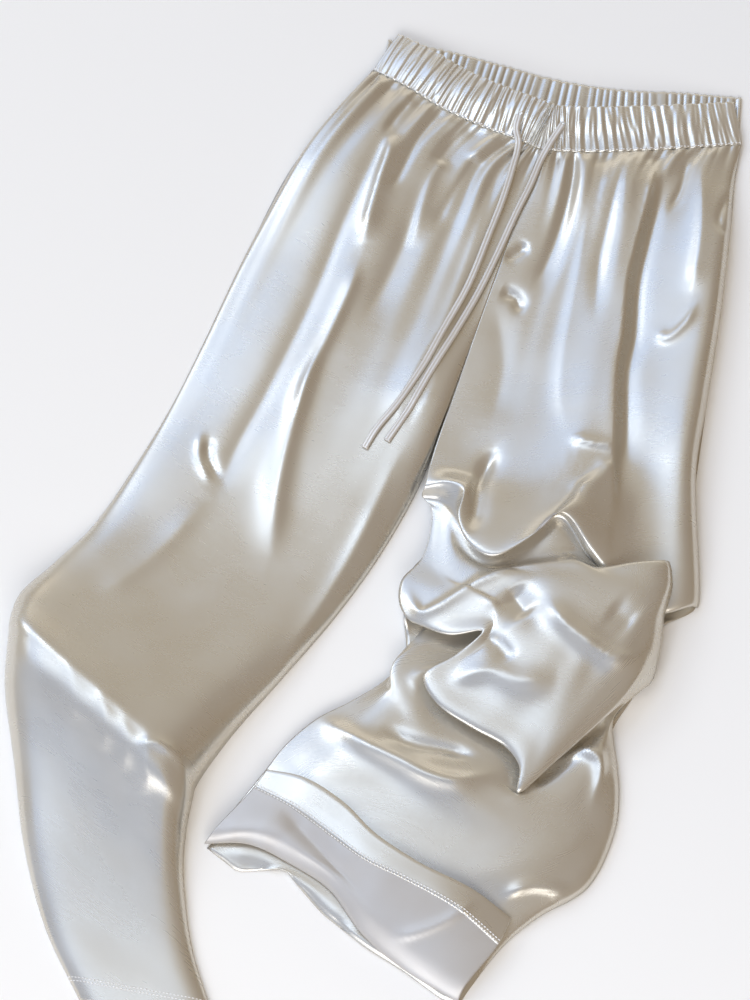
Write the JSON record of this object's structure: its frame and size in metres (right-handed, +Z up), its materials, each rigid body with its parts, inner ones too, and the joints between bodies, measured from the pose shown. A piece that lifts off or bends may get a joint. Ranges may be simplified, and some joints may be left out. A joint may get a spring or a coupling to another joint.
{
  "type": "wide-leg pants",
  "caption": "Pull-on wide-leg satin trousers laid out flat, with a gathered elastic waist, a drawstring, one leg straight over a raised fold and one pushed up into folds with its hem turned back.",
  "frame": {"origin": "middle of the footprint, on the surface that the trousers lie on", "axes": "+X towards the wearer's left, +Y towards the waist, +Z up; the front faces up"},
  "size_m": [0.6382, 0.914, 0.0503],
  "materials": {
    "satin": "glossy ivory crepe-back satin, right side",
    "satin_back": "matte crepe wrong side of the ivory satin",
    "casing_satin": "glossy ivory satin gathered over elastic",
    "tie_satin": "ivory satin bias tube"
  },
  "bodies": {
    "root": {"right_front": "satin", "left_front": "satin", "right_back": "satin_back", "left_back": "satin_back", "waistband_front": "casing_satin", "waistband_back": "satin_back", "tie_right": "tie_satin", "tie_left": "tie_satin"}
  },
  "joints": []
}
